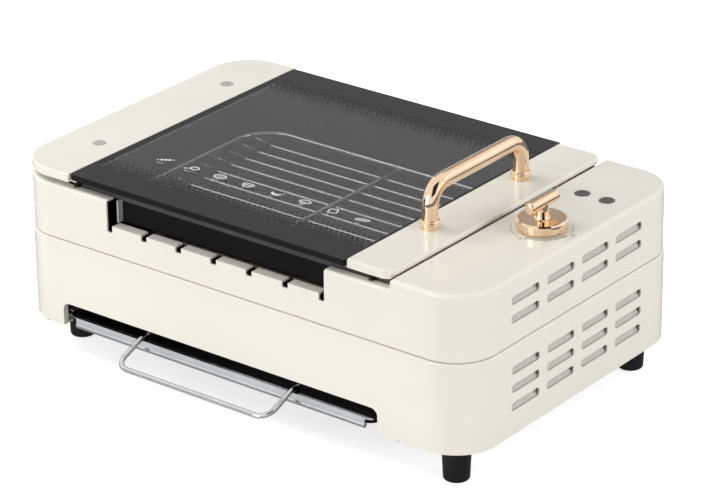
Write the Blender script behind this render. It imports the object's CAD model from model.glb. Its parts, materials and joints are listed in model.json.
"""Looks of the electric kebab grill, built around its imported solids."""
import json
import math

import bmesh
import bpy
from mathutils import Matrix, Vector


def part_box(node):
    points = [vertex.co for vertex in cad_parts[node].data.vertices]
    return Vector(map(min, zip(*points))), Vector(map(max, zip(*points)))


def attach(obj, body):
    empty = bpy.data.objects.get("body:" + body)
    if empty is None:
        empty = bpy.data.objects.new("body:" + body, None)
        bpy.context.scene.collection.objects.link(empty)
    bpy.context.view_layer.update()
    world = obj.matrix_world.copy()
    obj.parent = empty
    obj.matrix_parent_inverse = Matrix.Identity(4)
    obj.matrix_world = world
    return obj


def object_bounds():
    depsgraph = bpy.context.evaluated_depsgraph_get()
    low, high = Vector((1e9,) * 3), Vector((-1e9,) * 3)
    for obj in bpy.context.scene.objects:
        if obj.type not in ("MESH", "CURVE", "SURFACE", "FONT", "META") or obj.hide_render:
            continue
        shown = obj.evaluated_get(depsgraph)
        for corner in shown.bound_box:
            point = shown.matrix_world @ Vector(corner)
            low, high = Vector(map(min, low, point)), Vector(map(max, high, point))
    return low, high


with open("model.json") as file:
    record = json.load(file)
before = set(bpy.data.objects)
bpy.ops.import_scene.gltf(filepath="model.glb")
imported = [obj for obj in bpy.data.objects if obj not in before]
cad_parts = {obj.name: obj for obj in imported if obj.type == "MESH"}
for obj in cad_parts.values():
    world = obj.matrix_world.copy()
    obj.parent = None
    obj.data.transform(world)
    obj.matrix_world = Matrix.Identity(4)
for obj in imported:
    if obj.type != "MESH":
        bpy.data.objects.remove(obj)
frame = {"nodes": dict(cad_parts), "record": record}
cad_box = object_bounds()
nodes = frame["nodes"]
MM = 0.001


# Finishes

def linear(r, g, b):
    """Linear colour of an sRGB tone given from 0 to 255."""
    def one(v):
        v /= 255
        return v / 12.92 if v <= 0.04045 else ((v + 0.055) / 1.055) ** 2.4
    return one(r), one(g), one(b), 1.0


class Finish:
    """A Principled material whose colour, gloss and relief come from noise in the part's own metres."""

    def __init__(self, name, **sockets):
        self.mat = bpy.data.materials.new(name)
        self.mat.use_nodes = True
        self.tree = self.mat.node_tree
        self.tree.nodes.clear()
        out = self.add("OutputMaterial")
        self.shader = self.add("BsdfPrincipled", **sockets)
        self.link(self.shader.outputs[0], out, "Surface")
        self.place = self.add("TexCoord").outputs["Object"]
        self.normal = None

    def add(self, kind, **sockets):
        """A new node, with values for its inputs."""
        node = self.tree.nodes.new("ShaderNode" + kind)
        for socket, value in sockets.items():
            node.inputs[socket.replace("_", " ")].default_value = value
        return node

    def link(self, source, node, socket):
        self.tree.links.new(source, node.inputs[socket])

    def stretched(self, stretch):
        if stretch == (1, 1, 1):
            return self.place
        node = self.add("Mapping", Scale=stretch)
        self.link(self.place, node, "Vector")
        return node.outputs[0]

    def noise(self, scale, detail=2.0, stretch=(1, 1, 1)):
        node = self.add("TexNoise", Scale=scale, Detail=detail)
        self.link(self.stretched(stretch), node, "Vector")
        return node.outputs[0]

    def cells(self, scale):
        node = self.add("TexVoronoi", Scale=scale)
        self.link(self.place, node, "Vector")
        parts = self.add("SeparateColor")
        self.link(node.outputs["Color"], parts, 0)
        return parts.outputs[0]

    def spread(self, fac, low, high, start=0.3, end=0.7):
        """fac, mapped from between start and end to between low and high."""
        node = self.add("MapRange", From_Min=start, From_Max=end, To_Min=low, To_Max=high)
        self.link(fac, node, "Value")
        return node.outputs[0]

    def ramp(self, fac, stops):
        """Colour along fac, from stops of (place, colour)."""
        node = self.add("ValToRGB")
        marks = node.color_ramp.elements
        while len(marks) < len(stops):
            marks.new(0.5)
        for mark, (place, colour) in zip(marks, stops):
            mark.position = place
            mark.color = colour
        self.link(fac, node, 0)
        return node.outputs[0]

    def tones(self, fac, stops):
        self.link(self.ramp(fac, stops), self.shader, "Base Color")

    def beyond(self, axis, edge, blur):
        """0 before a place along one axis and 1 beyond it."""
        node = self.add("SeparateXYZ")
        self.link(self.place, node, 0)
        return self.spread(node.outputs[axis], 0, 1, edge - blur / 2, edge + blur / 2)

    def product(self, factors):
        total = factors[0]
        for factor in factors[1:]:
            node = self.add("Math")
            node.operation = "MULTIPLY"
            self.link(total, node, 0)
            self.link(factor, node, 1)
            total = node.outputs[0]
        return total

    def inside(self, lo, hi, blur):
        """1 in a box of the part's own space and 0 outside it; None leaves a side open."""
        sides = []
        for axis, low, high in zip("XYZ", lo, hi):
            if low is not None:
                sides.append(self.beyond(axis, low, blur))
            if high is not None:
                sides.append(self.spread(self.beyond(axis, high, blur), 1, 0, 0, 1))
        return self.product(sides)

    def mixed(self, fac, before, after):
        """Base colour that goes from one colour to the other along fac."""
        node = self.add("Mix")
        node.data_type = "RGBA"
        colours = [i for i in node.inputs if i.type == "RGBA"]
        result = [o for o in node.outputs if o.type == "RGBA"][0]
        self.link(fac, node, "Factor")
        self.tree.links.new(before, colours[0])
        self.tree.links.new(after, colours[1])
        self.link(result, self.shader, "Base Color")

    def rough(self, fac, low, high):
        self.link(self.spread(fac, low, high), self.shader, "Roughness")

    def relief(self, fac, depth):
        """Bumps of that depth in millimetres, over what is there already."""
        node = self.add("Bump", Strength=1.0, Distance=depth * MM)
        self.link(fac, node, "Height")
        if self.normal:
            self.link(self.normal, node, "Normal")
        self.normal = node.outputs[0]
        self.link(self.normal, self.shader, "Normal")


def coating(name, pale, deep, cloud, gloss, peel, peel_depth, **sockets):
    """Enamel, paint, plastic or rubber: a cloudy tone, uneven gloss and a fine skin."""
    f = Finish(name, **sockets)
    f.tones(f.noise(cloud, 3), [(0.35, deep), (0.65, pale)])
    f.rough(f.noise(cloud * 9, 3), *gloss)
    f.relief(f.noise(peel, 2), peel_depth)
    f.relief(f.noise(peel * 6, 1), peel_depth / 5)
    return f.mat


def metal(name, pale, deep, cloud, gloss, lines, line_depth):
    """Bare or plated metal, with fine lines left by rolling, drawing or polishing."""
    f = Finish(name, Metallic=1.0)
    f.tones(f.noise(cloud, 4), [(0.3, deep), (0.7, pale)])
    f.rough(f.noise(lines / 3, 3), *gloss)
    f.relief(f.noise(lines, 2), line_depth)
    return f.mat


CREAM = (linear(241, 238, 227), linear(238, 235, 224))
BLADES_FROM = 0.5 * MM
BLADES_TO = 9 * MM
VENT_MARGIN = 42 * MM


def shell_enamel(node, low, high):
    """Cream enamel that is greyer on the louvres' blades, which lie behind the right wall's face."""
    lo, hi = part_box(node)
    f = Finish(node + "_enamel")
    cloud = f.noise(6, 3)
    blades = f.inside((hi.x - BLADES_TO, lo.y + VENT_MARGIN, low),
        (hi.x - BLADES_FROM, hi.y - VENT_MARGIN, high), 0.5 * MM)
    f.mixed(blades, f.ramp(cloud, [(0.35, CREAM[1]), (0.65, CREAM[0])]),
        f.ramp(f.noise(900, 2), [(0.3, linear(192, 189, 182)), (0.7, linear(214, 211, 204))]))
    f.rough(f.noise(54, 3), 0.11, 0.17)
    f.relief(f.noise(420, 2), 0.0008)
    f.relief(f.noise(2520, 1), 0.00016)
    return f.mat


RACK_SLOPE = 27 * MM
RACK_TOP = 3 * MM


def rack_wire():
    """Bright wire whose sloping left ends are dulled by heat."""
    lo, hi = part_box("wire_rack")
    f = Finish("rack_wire", Metallic=1.0)
    dull = f.inside((None, None, None), (lo.x + RACK_SLOPE, None, hi.z - RACK_TOP), 1.2 * MM)
    f.mixed(dull, f.ramp(f.noise(60, 4), [(0.3, linear(212, 213, 216)), (0.7, linear(226, 227, 229))]),
        f.ramp(f.noise(90, 3), [(0.3, linear(66, 66, 68)), (0.7, linear(84, 83, 84))]))
    f.link(f.spread(dull, 0.07, 0.4, 0, 1), f.shader, "Roughness")
    f.relief(f.noise(900, 2), 0.0006)
    return f.mat


def galvanised(name):
    """Zinc-dipped sheet with its spangle."""
    f = Finish(name, Metallic=1.0)
    f.tones(f.cells(160),
        [(0.0, linear(150, 152, 154)), (0.5, linear(178, 180, 182)), (1.0, linear(202, 204, 206))])
    f.rough(f.cells(160), 0.3, 0.55)
    f.relief(f.noise(900, 2), 0.004)
    return f.mat


def heated(name):
    """Steel that heat has tinted brown and blue."""
    f = Finish(name, Metallic=1.0)
    f.tones(f.noise(24, 4, (1, 0.4, 1)), [(0.25, linear(60, 56, 54)), (0.45, linear(96, 84, 74)),
        (0.6, linear(112, 98, 82)), (0.78, linear(70, 72, 84))])
    f.rough(f.noise(300, 3), 0.42, 0.62)
    f.relief(f.noise(1500, 2), 0.01)
    return f.mat


def part_coated(name, axis, edge, before, after):
    """Sheet with two coats that meet at one place; each coat is two tones, a metal share and a roughness."""
    f = Finish(name, Specular_IOR_Level=0.12)
    cloud = f.noise(24, 3)
    past = f.beyond(axis, edge, 0.4 * MM)
    f.mixed(past, *(f.ramp(cloud, [(0.35, coat[0]), (0.65, coat[1])]) for coat in (before, after)))
    f.link(f.spread(past, before[2], after[2], 0, 1), f.shader, "Metallic")
    f.link(f.spread(past, before[3], after[3], 0, 1), f.shader, "Roughness")
    f.relief(f.noise(700, 2, (1, 6, 6)), 0.0012)
    return f.mat


def tinted_glass(name):
    """Smoked glass, with a slight unevenness of tint and polish."""
    f = Finish(name, Transmission_Weight=1.0, IOR=1.45)
    f.tones(f.noise(5, 2), [(0.3, (0.455, 0.455, 0.458, 1)), (0.7, (0.49, 0.49, 0.493, 1))])
    f.rough(f.noise(60, 2), 0.004, 0.016)
    return f.mat


finishes = {
    "cream_plastic": coating("cream_plastic", *CREAM, 9, (0.13, 0.2), 800, 0.0007),
    "grey_enamel": coating("grey_enamel", linear(70, 70, 72), linear(58, 58, 60),
        14, (0.28, 0.4), 700, 0.003),
    "black_rubber": coating("black_rubber", linear(26, 26, 26), linear(19, 19, 19),
        60, (0.36, 0.5), 1500, 0.012, Specular_IOR_Level=0.36),
    "black_plastic": coating("black_plastic", linear(36, 36, 37), linear(28, 28, 29),
        40, (0.4, 0.52), 1800, 0.008),
    "white_plastic": coating("white_plastic", linear(232, 230, 225), linear(225, 223, 216),
        30, (0.3, 0.42), 1400, 0.004),
    "grey_plastic": coating("grey_plastic", linear(182, 179, 173), linear(174, 171, 165),
        60, (0.22, 0.32), 2200, 0.002),
    "smoke_plastic": coating("smoke_plastic", linear(76, 73, 71), linear(64, 62, 60),
        70, (0.08, 0.16), 1500, 0.001, Coat_Weight=0.5, Coat_Roughness=0.05),
    "zinc_steel": metal("zinc_steel", linear(205, 206, 207), linear(182, 183, 186),
        120, (0.2, 0.34), 2400, 0.002),
    "chrome_wire": metal("chrome_wire", linear(226, 227, 229), linear(212, 213, 216),
        60, (0.05, 0.12), 900, 0.0006),
    "champagne_metal": metal("champagne_metal", linear(246, 218, 189), linear(239, 207, 175),
        50, (0.05, 0.1), 1200, 0.0005),
    "galvanised_sheet": galvanised("galvanised_sheet"),
    "heater_steel": heated("heater_steel"),
    "smoked_glass": tinted_glass("smoked_glass"),
}
black_print = coating("black_print", linear(20, 20, 20), linear(16, 16, 16), 14, (0.02, 0.05), 900, 0.0001)
white_print = coating("white_print", linear(232, 232, 230), linear(222, 222, 219), 40, (0.3, 0.4), 900, 0.0004)
grey_print = coating("grey_print", linear(74, 71, 67), linear(64, 61, 58), 40, (0.3, 0.4), 900, 0.0004)

# Some nodes have a finish of their own: the tray is bare metal at its lip and black behind it, the skirt's
# folded left edge is bare too, and the liner's right flange, which shows beside the lid, has the shell's cream
LIP = 3.2 * MM
FOLD = 1.6 * MM
FLANGE = 15 * MM
BLACK_COAT = (linear(14, 14, 15), linear(19, 19, 20), 0.0, 0.45)
LINER_COAT = (linear(12, 12, 13), linear(18, 18, 19), 0.0, 0.3)
CREAM_COAT = (CREAM[1], CREAM[0], 0.0, 0.3)
FOLD_COAT = (linear(176, 176, 175), linear(188, 188, 187), 0.0, 0.3)
BARE_METAL = (linear(206, 207, 210), linear(222, 223, 225), 1.0, 0.1)
own = {
    "drip_tray": part_coated("tray_sheet", "Y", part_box("drip_tray")[0].y + LIP, BARE_METAL, BLACK_COAT),
    "lower_shell": shell_enamel("lower_shell", 36 * MM, 90 * MM),
    "upper_shell": shell_enamel("upper_shell", 103 * MM, 138 * MM),
    "wire_rack": rack_wire(),
    "chamber_liner": part_coated("liner_sheet", "X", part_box("chamber_liner")[1].x - FLANGE, LINER_COAT, CREAM_COAT),
    "lid_skirt": part_coated("skirt_sheet", "X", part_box("lid_skirt")[0].x + FOLD, FOLD_COAT, BLACK_COAT),
}
for row in frame["record"]["subparts"]:
    mesh = nodes[row["node"]].data
    mesh.materials.clear()
    mesh.materials.append(own.get(row["node"]) or finishes[row["material_slot"]])


# Pieces that the solids leave to the looks

def shown(name, bm, material):
    """The object of a finished bmesh."""
    mesh = bpy.data.meshes.new(name)
    bm.to_mesh(mesh)
    bm.free()
    mesh.materials.append(material)
    obj = bpy.data.objects.new(name, mesh)
    bpy.context.scene.collection.objects.link(obj)
    return obj


def piece(name, bm, body, material):
    obj = shown(name, bm, material)
    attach(obj, body)


def plates(outlines, z, thick):
    """Closed flat plates, one for each outline, standing on z."""
    bm = bmesh.new()
    for outline in outlines:
        low = [bm.verts.new((x, y, z)) for x, y in outline]
        high = [bm.verts.new((x, y, z + thick)) for x, y in outline]
        bm.faces.new(low[::-1])
        bm.faces.new(high)
        for i in range(len(outline)):
            j = (i + 1) % len(outline)
            bm.faces.new((low[i], low[j], high[j], high[i]))
    return bm


def disc(x, y, r, sides=10):
    turns = [math.tau * i / sides for i in range(sides)]
    return [(x + r * math.cos(t), y + r * math.sin(t)) for t in turns]


def strip(x0, y0, x1, y1):
    return [(x0, y0), (x1, y0), (x1, y1), (x0, y1)]


def arc(x, y, rx, ry, start, end, steps=14):
    """Points along an ellipse, between two angles in degrees."""
    turns = [math.radians(start + (end - start) * i / steps) for i in range(steps + 1)]
    return [(x + rx * math.cos(t), y + ry * math.sin(t)) for t in turns]


def ribbon(points, width):
    """Outline of an even band along an open line of points."""
    left, right = [], []
    for i, (x, y) in enumerate(points):
        x0, y0 = points[max(i - 1, 0)]
        x1, y1 = points[min(i + 1, len(points) - 1)]
        run = math.hypot(x1 - x0, y1 - y0)
        nx, ny = (y0 - y1) / run * width / 2, (x1 - x0) / run * width / 2
        left.append((x + nx, y + ny))
        right.append((x - nx, y - ny))
    return right + left[::-1]


def loop(x, y, rx, ry, width):
    """Two bands that close an ellipse."""
    return [ribbon(arc(x, y, rx, ry, 0, 180), width), ribbon(arc(x, y, rx, ry, 180, 360), width)]


def placed(outlines, x, y, turn=0.0):
    """Outlines in millimetres, turned by degrees and set at a place in metres."""
    c, s = math.cos(math.radians(turn)), math.sin(math.radians(turn))
    return [[(x + (u * c - v * s) * MM, y + (u * s + v * c) * MM) for u, v in o] for o in outlines]


def lathe(profile, spots, z, steps=64):
    """Rings turned from a closed profile of (radius, height), one at each spot."""
    bm = bmesh.new()
    for x, y in spots:
        rows = [[bm.verts.new((u, v, z + h)) for u, v in disc(x, y, r, steps)] for r, h in profile]
        for j, row in enumerate(rows):
            above = rows[(j + 1) % len(rows)]
            for i in range(steps):
                k = (i + 1) % steps
                bm.faces.new((row[i], row[k], above[k], above[i]))
    for face in bm.faces:
        face.smooth = True
    return bm


def swept(outline, x0, x1):
    """A closed band along x, from a closed outline of (y, z)."""
    bm = bmesh.new()
    ends = [[bm.verts.new((x, y, z)) for y, z in outline] for x in (x0, x1)]
    count = len(outline)
    for i in range(count):
        j = (i + 1) % count
        bm.faces.new((ends[0][i], ends[0][j], ends[1][j], ends[1][i]))
    bm.faces.new(ends[0][::-1])
    bm.faces.new(ends[1])
    bmesh.ops.recalc_face_normals(bm, faces=bm.faces)
    return bm


def ring(lo, hi, corner, width, z, high, steps=12):
    """A closed band of even width round a box with rounded corners."""
    bm = bmesh.new()
    rows = []
    for inset, level in ((0, z), (0, z + high), (width, z + high), (width, z)):
        r = corner - inset
        row = []
        for sx, sy, start in ((1, 1, 0), (-1, 1, 90), (-1, -1, 180), (1, -1, 270)):
            cx = (hi.x if sx > 0 else lo.x) - sx * corner
            cy = (hi.y if sy > 0 else lo.y) - sy * corner
            row += [bm.verts.new((x, y, level)) for x, y in arc(cx, cy, r, r, start, start + 90, steps)]
        rows.append(row)
    count = len(rows[0])
    for j, row in enumerate(rows):
        above = rows[(j + 1) % len(rows)]
        for i in range(count):
            k = (i + 1) % count
            bm.faces.new((row[i], row[k], above[k], above[i]))
    bmesh.ops.recalc_face_normals(bm, faces=bm.faces)
    return bm


PRINT = 0.03 * MM
glass_lo, glass_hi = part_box("lid_glass")
shell_lo, shell_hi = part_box("upper_shell")
glass_mid = (glass_lo.y + glass_hi.y) / 2

# Black border print of the glass, whose inner edge breaks up into rows of ever smaller dots
GLASS_EDGE = 0.6 * MM
BORDER = 24 * MM
DOT_STEP = 4.7 * MM
DOT_ROWS = 6
DOT_ENDS = 6 * MM
border = []
for side in (-1, 1):
    edge = glass_mid + side * (glass_hi.y - glass_mid - GLASS_EDGE)
    inner = edge - side * BORDER
    y0, y1 = sorted((edge, inner))
    border.append(strip(glass_lo.x + GLASS_EDGE, y0, glass_hi.x - GLASS_EDGE, y1))
    for i in range(DOT_ROWS):
        r = DOT_STEP * (0.46 - 0.38 * i / (DOT_ROWS - 1))
        y = inner - side * (DOT_STEP * 0.87 * (i + 0.6))
        x = glass_lo.x + DOT_ENDS + (i % 2) * DOT_STEP / 2
        while x < glass_hi.x - DOT_ENDS:
            border.append(disc(x, y, r))
            x += DOT_STEP
piece("glass_border_print", plates(border, glass_hi.z, PRINT), "lid", black_print)

# The same black goes over the glass's rounded front and back edges
GLASS_CORNER = 2.1 * MM
PRINT_LIFT = 0.005 * MM
for side, name in ((-1, "front"), (1, "back")):
    face = glass_lo.y if side < 0 else glass_hi.y
    lines = []
    for out in (PRINT_LIFT, PRINT):
        bend = arc(0, 0, GLASS_EDGE + out, GLASS_EDGE + out, 90, 0, 6)
        lines.append([(face + side * (u - GLASS_EDGE), glass_hi.z - GLASS_EDGE + v) for u, v in bend])
        lines[-1].append((face + side * out, glass_lo.z))
    band = swept(lines[0] + lines[1][::-1], glass_lo.x + GLASS_CORNER, glass_hi.x - GLASS_CORNER)
    piece("glass_edge_print_" + name, band, "lid", black_print)

# Small food pictures on the glass, with dots that stand for the heat each one takes
PEN = 1.25
STALK_PEN = 1.0
FINE_PEN = 0.6
skewer = [ribbon([(-6 + 2.6 * i, -3 + 1.5 * i), (-4.6 + 2.6 * i, -2.2 + 1.5 * i)], PEN) for i in (0, 4)]
skewer += [disc(-2.7 + 2.6 * i, -1.1 + 1.5 * i, 1.4, 14) for i in range(3)]
drumstick = loop(1.4, 0.8, 3.4, 2.5, PEN) + [ribbon([(-1.5, -0.9), (-4.6, -2.7)], STALK_PEN)]
drumstick += [disc(-5.2, -2.4, 0.7), disc(-4.7, -3.4, 0.7)]
steak = loop(0, 0, 5.2, 3.3, PEN)
for u, h in ((-2.8, 2.1), (-0.9, 2.5), (0.9, 2.5), (2.8, 2.1)):
    steak.append(ribbon([(u - 0.9, -h), (u + 0.9, h)], FINE_PEN))
bowl = loop(0, 1.2, 5, 1.5, PEN) + [ribbon(arc(0, 0.9, 4.4, 4.2, 200, 340), PEN)]
pepper = [arc(0, 1.5, 4.8, 4.6, 190, 350) + arc(0, 3.2, 4.2, 3.4, 335, 205)]
pepper += [ribbon([(4.6, 2.2), (5.4, 3.6)], STALK_PEN)]
mushroom = [ribbon(arc(0, 0, 4.8, 3.8, 0, 180), PEN), ribbon([(-4.8, -0.4), (4.8, -0.4)], PEN)]
mushroom += [ribbon([(-1.5, -0.9), (-1.2, -3.6), (1.2, -3.6), (1.5, -0.9)], PEN)]
toast = [ribbon([(0, -3.4), (-3.2, -3.2), (-3.4, 1.4), (-2.4, 3.2), (0, 3.4)], PEN)]
toast += [ribbon([(0, 3.4), (2.4, 3.2), (3.4, 1.4), (3.2, -3.2), (0, -3.4)], PEN)]
sausage = loop(0, 0, 5.6, 1.6, PEN) + [ribbon([(u - 0.4, -0.7), (u + 0.4, 0.7)], FINE_PEN) for u in (-2, 0, 2)]
# Each with its turn in degrees and its heat
foods = [(skewer, 0, 3), (drumstick, 0, 3), (steak, 0, 3), (bowl, 0, 1), (pepper, 0, 2), (mushroom, 0, 2),
    (toast, 18, 1), (sausage, 14, 2)]
FOOD_X0 = -114 * MM
FOOD_STEP = 26.4 * MM
FOOD_Y = glass_lo.y + 61.5 * MM
HEAT_STEP = 2.2
HEAT_Y = -6.4
HEAT_R = 0.6
pictures = []
for i, (food, turn, heat) in enumerate(foods):
    x = FOOD_X0 + FOOD_STEP * i
    dots = [disc((k - (heat - 1) / 2) * HEAT_STEP, HEAT_Y, HEAT_R) for k in range(heat)]
    pictures += placed(food, x, FOOD_Y, turn) + placed(dots, x, FOOD_Y)
piece("glass_food_print", plates(pictures, glass_hi.z, PRINT), "lid", white_print)

# Scale round the knob: fine marks on the side that faces out, plain arcs beyond them, a ring for off
# and a wedge for full
MARK_FROM = 19.6
MARK_TO = 22.6
LONG_MARK_TO = 23.6
MARK_W = 0.6
SCALE_R = 22.4
SCALE_W = 0.3
knob_lo, knob_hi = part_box("knob_disc")
knob_mid = (knob_lo + knob_hi) / 2
scale = []
for i, turn in enumerate(range(-88, 0, 4)):
    reach = LONG_MARK_TO if i % 5 == 0 else MARK_TO
    c, s = math.cos(math.radians(turn)), math.sin(math.radians(turn))
    scale.append(ribbon([(MARK_FROM * c, MARK_FROM * s), (reach * c, reach * s)], MARK_W))
scale.append(ribbon(arc(0, 0, SCALE_R, SCALE_R, -160, -104, 30), SCALE_W))
scale.append(ribbon(arc(0, 0, SCALE_R, SCALE_R, 14, 48, 20), SCALE_W))
scale += loop(-2.0, -24.0, 1.1, 1.1, 0.5)
scale.append([(23.6, 2.2), (25.8, 1.2), (26.0, 3.6)])
dial = plates(placed(scale, knob_mid.x, knob_mid.y), shell_hi.z, PRINT)
piece("dial_scale_print", dial, "body", grey_print)

# Thin bezels round the two lenses, from a profile of millimetres out from the lens and up from the panel
BEZEL = ((0.05, 0), (1.0, 0), (0.9, 0.25), (0.5, 0.42), (0.05, 0.35))
lens_lo, lens_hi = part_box("indicator_lenses")
lens_r = (lens_hi.y - lens_lo.y) / 2
lens_y = (lens_lo.y + lens_hi.y) / 2
lenses = [(lens_lo.x + lens_r, lens_y), (lens_hi.x - lens_r, lens_y)]
bezels = lathe([(lens_r + out * MM, up * MM) for out, up in BEZEL], lenses, shell_hi.z)
piece("lens_bezels", bezels, "body", finishes["white_plastic"])

# Grey strip at the bottom of the groove between the two shells
SEAM_CORNER = 33 * MM
GROOVE = 0.5 * MM
SEAM_W = 0.35 * MM
SEAM_H = 1.0 * MM
SEAM_LIFT = 0.02 * MM
groove = Vector((GROOVE, GROOVE, 0))
seam = ring(shell_lo + groove, shell_hi - groove, SEAM_CORNER - GROOVE, SEAM_W, shell_lo.z + SEAM_LIFT, SEAM_H)
piece("seam_strip", seam, "body", finishes["grey_plastic"])


# Light, floor and camera

def white_for_sight(tree):
    """1 for rays that look, mirror or pass through, and 0 for rays that carry light."""
    path = tree.nodes.new("ShaderNodeLightPath")
    total = path.outputs["Is Camera Ray"]
    for name in ("Is Glossy Ray", "Is Transmission Ray"):
        either = tree.nodes.new("ShaderNodeMath")
        either.operation = "MAXIMUM"
        tree.links.new(total, either.inputs[0])
        tree.links.new(path.outputs[name], either.inputs[1])
        total = either.outputs[0]
    return total


def grid(size):
    bm = bmesh.new()
    bmesh.ops.create_grid(bm, x_segments=2, y_segments=2, size=size)
    return bm


AMBIENT = 0.56
world = bpy.data.worlds.new("studio")
bpy.context.scene.world = world
world.use_nodes = True
tree = world.node_tree
level = tree.nodes.new("ShaderNodeMapRange")
level.inputs["To Min"].default_value = AMBIENT
tree.links.new(white_for_sight(tree), level.inputs["Value"])
tree.links.new(level.outputs[0], tree.nodes["Background"].inputs["Strength"])
tree.nodes["Background"].inputs["Color"].default_value = (1, 1, 1, 1)

FLOOR_LIFT = 0.7
FLOOR_GAP = 0.02 * MM
FLOOR_HALF = 9
paper = Finish("studio_paper", Roughness=1.0, Specular_IOR_Level=0.0, Emission_Color=(1, 1, 1, 1))
paper.tones(paper.noise(3, 2), [(0.3, (0.8, 0.8, 0.8, 1)), (0.7, (0.82, 0.82, 0.82, 1))])
lift = paper.add("Math")
lift.operation = "MULTIPLY"
lift.inputs[1].default_value = FLOOR_LIFT
paper.link(white_for_sight(paper.tree), lift, 0)
paper.link(lift.outputs[0], paper.shader, "Emission Strength")
floor = shown("floor", grid(FLOOR_HALF), paper.mat)
floor.location.z = cad_box[0].z - FLOOR_GAP

centre = Vector((0, 0, 0.09))


def aimed(obj, direction, distance, around=centre):
    """Sets a lamp or board at a distance, facing the place it is set round."""
    obj.location = around + direction * distance
    obj.rotation_euler = direction.to_track_quat("Z", "Y").to_euler()


def softbox(name, toward, distance, size, power):
    lamp = bpy.data.lights.new(name, "AREA")
    lamp.shape = "DISK"
    lamp.size = size
    lamp.energy = power
    obj = bpy.data.objects.new(name, lamp)
    bpy.context.scene.collection.objects.link(obj)
    aimed(obj, Vector(toward).normalized(), distance)
    return obj


softbox("key", (-0.2, -0.9, 0.2), 2.6, 1.6, 24.5)
softbox("top", (-0.8, -0.25, 1.01), 1.31, 0.9, 6.4).visible_glossy = False
softbox("side", (0.9, 0.25, 0.35), 2.4, 1.2, 19.5).visible_glossy = False


def card(name, azimuth, elevation, distance, width, height, tone, around=centre):
    """A plain board that only mirrors show, as a studio sets round a glossy object."""
    mat = bpy.data.materials.new(name)
    mat.use_nodes = True
    mat.node_tree.nodes.clear()
    glow = mat.node_tree.nodes.new("ShaderNodeEmission")
    glow.inputs["Color"].default_value = (tone, tone, tone, 1)
    out = mat.node_tree.nodes.new("ShaderNodeOutputMaterial")
    mat.node_tree.links.new(glow.outputs[0], out.inputs["Surface"])
    obj = shown(name, grid(0.5), mat)
    a, e = math.radians(azimuth), math.radians(elevation)
    aimed(obj, Vector((math.cos(a) * math.cos(e), math.sin(a) * math.cos(e), math.sin(e))), distance, around)
    obj.scale = (width, height, 1)
    obj.visible_camera = False
    obj.visible_diffuse = False
    obj.visible_transmission = False
    obj.visible_shadow = False


DARK = 0.03
card("side_card", 15.5, 19.9, 2.4, 1.1, 1.1, 1.3)
card("rear_card", 128, 25, 3.0, 2.4, 1.9, 0.42)
card("bright_card", 52, 28, 3.0, 1.6, 1.2, 1.3)
card("dark_card_right", -33, 45, 3.0, 2.2, 2.8, DARK)
card("dark_card_front", -124, 5, 2.6, 2.6, 0.5, DARK)
# Two boards lie on the floor, the second of them in front of the tray's lip
card("floor_card", 0, 90, 0, 12, 12, 0.25, floor.location + Vector((0, 0, 0.005 * MM)))
card("lip_card", 0, 90, 0, 0.6, 0.1, 0.8, floor.location + Vector((-0.1, -0.215, 0.01 * MM)))

# Camera, as fitted to the photo
EYE = Vector((1.4171, -1.7861, 1.1205))
VIEW_BACK = Vector((0.5618, -0.7168, 0.4130))
VIEW_RIGHT = Vector((0.7871, 0.6169, 0))
VIEW_UP = Vector((-0.2548, 0.3251, 0.9107))
ROLL = math.radians(-0.634)
FOCUS_PX = 3362.96
PHOTO_W = 705
SENSOR = 36
right = VIEW_RIGHT * math.cos(ROLL) + VIEW_UP * math.sin(ROLL)
up = VIEW_UP * math.cos(ROLL) - VIEW_RIGHT * math.sin(ROLL)
camera_data = bpy.data.cameras.new("camera")
camera_data.sensor_fit = "HORIZONTAL"
camera_data.sensor_width = SENSOR
camera_data.lens = SENSOR * FOCUS_PX / PHOTO_W
camera = bpy.data.objects.new("camera", camera_data)
bpy.context.scene.collection.objects.link(camera)
camera.matrix_world = Matrix.Translation(EYE) @ Matrix((right, up, VIEW_BACK)).transposed().to_4x4()
bpy.context.scene.camera = camera
bpy.context.scene.view_settings.view_transform = "Standard"
